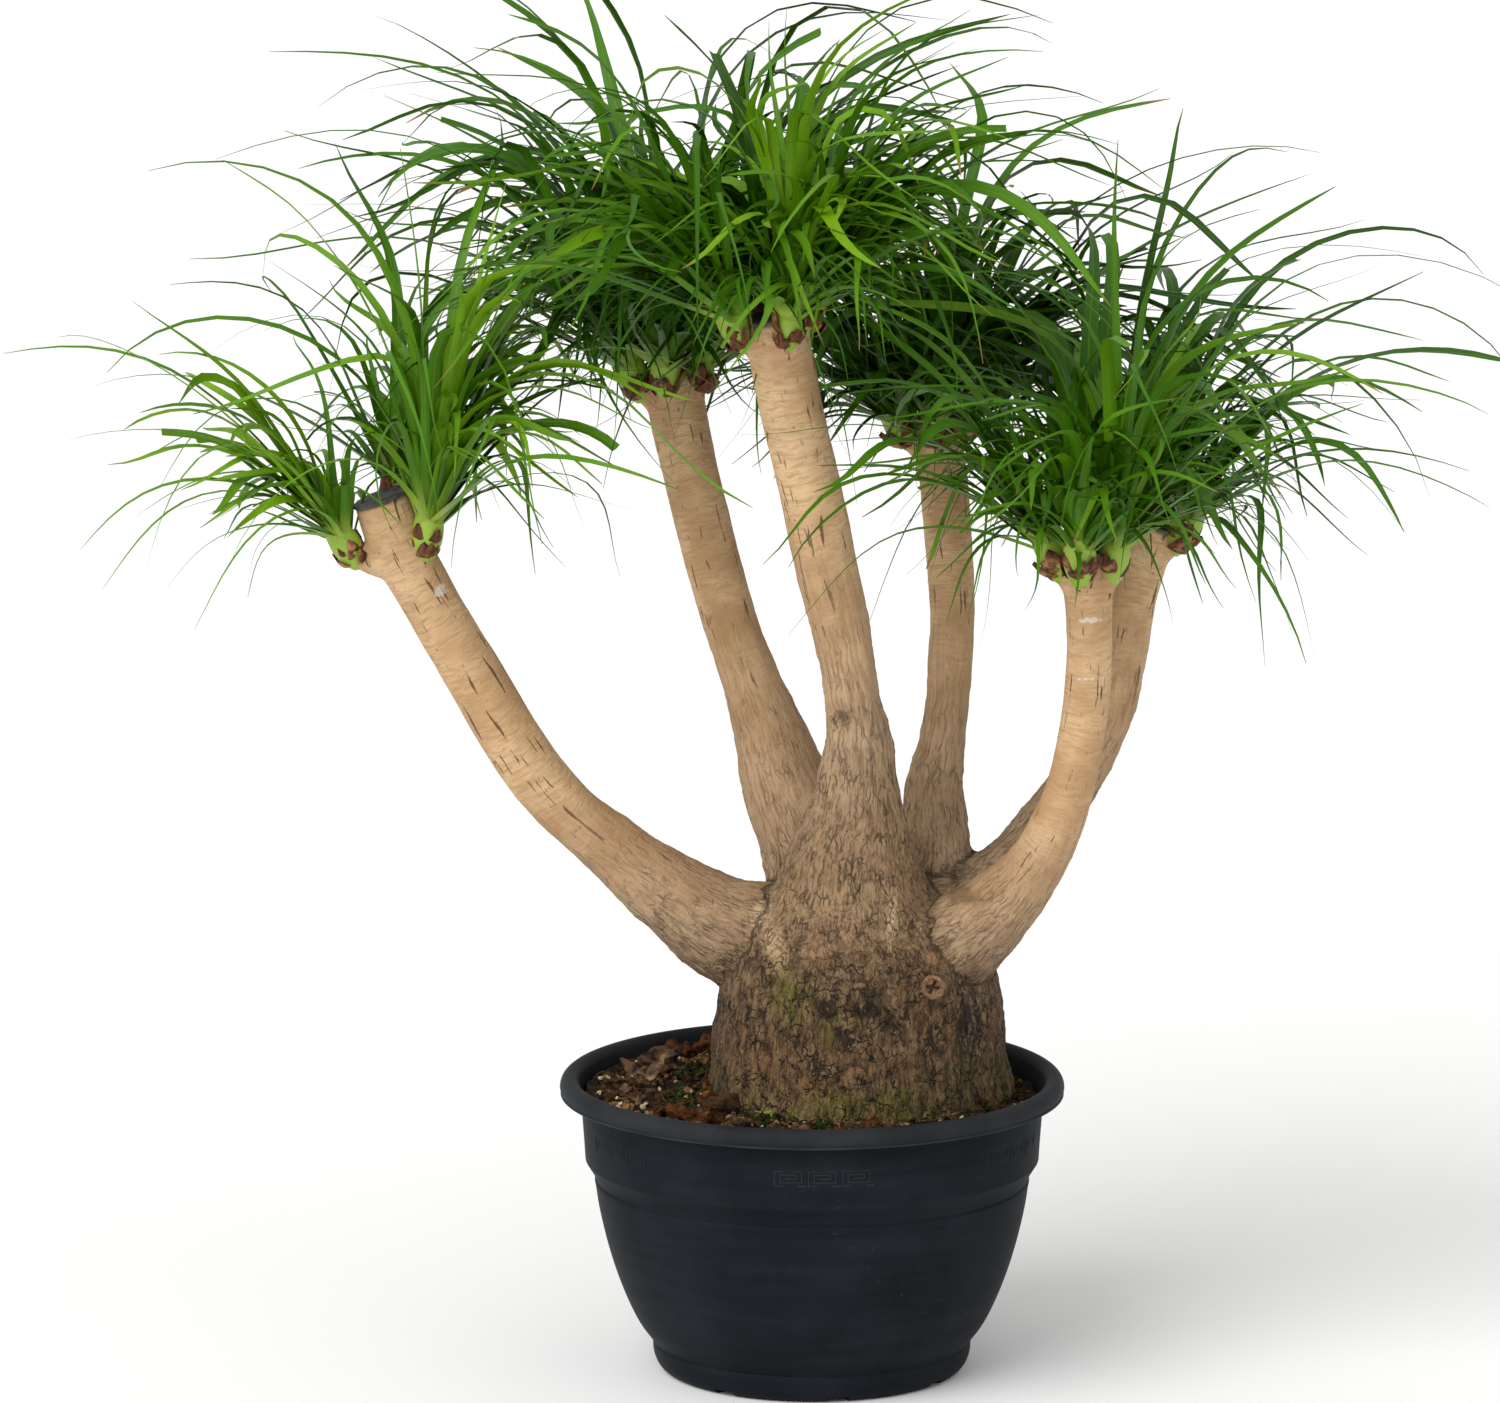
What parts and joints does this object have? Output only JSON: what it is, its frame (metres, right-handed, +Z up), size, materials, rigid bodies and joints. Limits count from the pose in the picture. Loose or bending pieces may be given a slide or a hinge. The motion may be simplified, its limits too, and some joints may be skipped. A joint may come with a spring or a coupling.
{
  "type": "potted ponytail palm",
  "caption": "Potted ponytail palm: a swollen trunk foot parts into upswept cut-back stems topped with shoots of long arching leaves, in a round nursery pot with a rolled lip.",
  "frame": {"origin": "middle of the flat pad in the pot's underside, level with its foot ring", "axes": "+Z up, +X to the plant's right as seen from its front, +Y away from the front"},
  "size_m": [1.2211, 0.8702, 1.0916],
  "materials": {
    "pot_plastic": "satin moulded polypropylene, near-black blue grey",
    "potting_soil": null,
    "bark": "dry tan bark, ringed on the stems, fissured and grey-brown at the swollen foot",
    "wound_sealant": "dried dark grey wound sealant",
    "leaf": null
  },
  "bodies": {
    "root": {"pot": "pot_plastic", "soil": "potting_soil", "trunk": "bark", "seal_left": "wound_sealant", "seal_back_left": "wound_sealant", "seal_front": "wound_sealant", "seal_back": "wound_sealant", "seal_front_right": "wound_sealant", "seal_back_right": "wound_sealant", "shoot_left_inner": "leaf", "shoot_left_outer": "leaf", "shoot_left_rear": "leaf", "shoot_back_left_outer": "leaf", "shoot_back_left_front": "leaf", "shoot_back_left_inner": "leaf", "shoot_back_left_rear": "leaf", "shoot_front_middle": "leaf", "shoot_front_left": "leaf", "shoot_front_inner": "leaf", "shoot_front_rear": "leaf", "shoot_back_outer": "leaf", "shoot_back_front": "leaf", "shoot_back_inner": "leaf", "shoot_back_rear": "leaf", "shoot_front_right_left": "leaf", "shoot_front_right_middle": "leaf", "shoot_front_right_small": "leaf", "shoot_front_right_rear": "leaf", "shoot_back_right_outer": "leaf", "shoot_back_right_inner": "leaf", "shoot_back_right_rear": "leaf"}
  },
  "joints": []
}
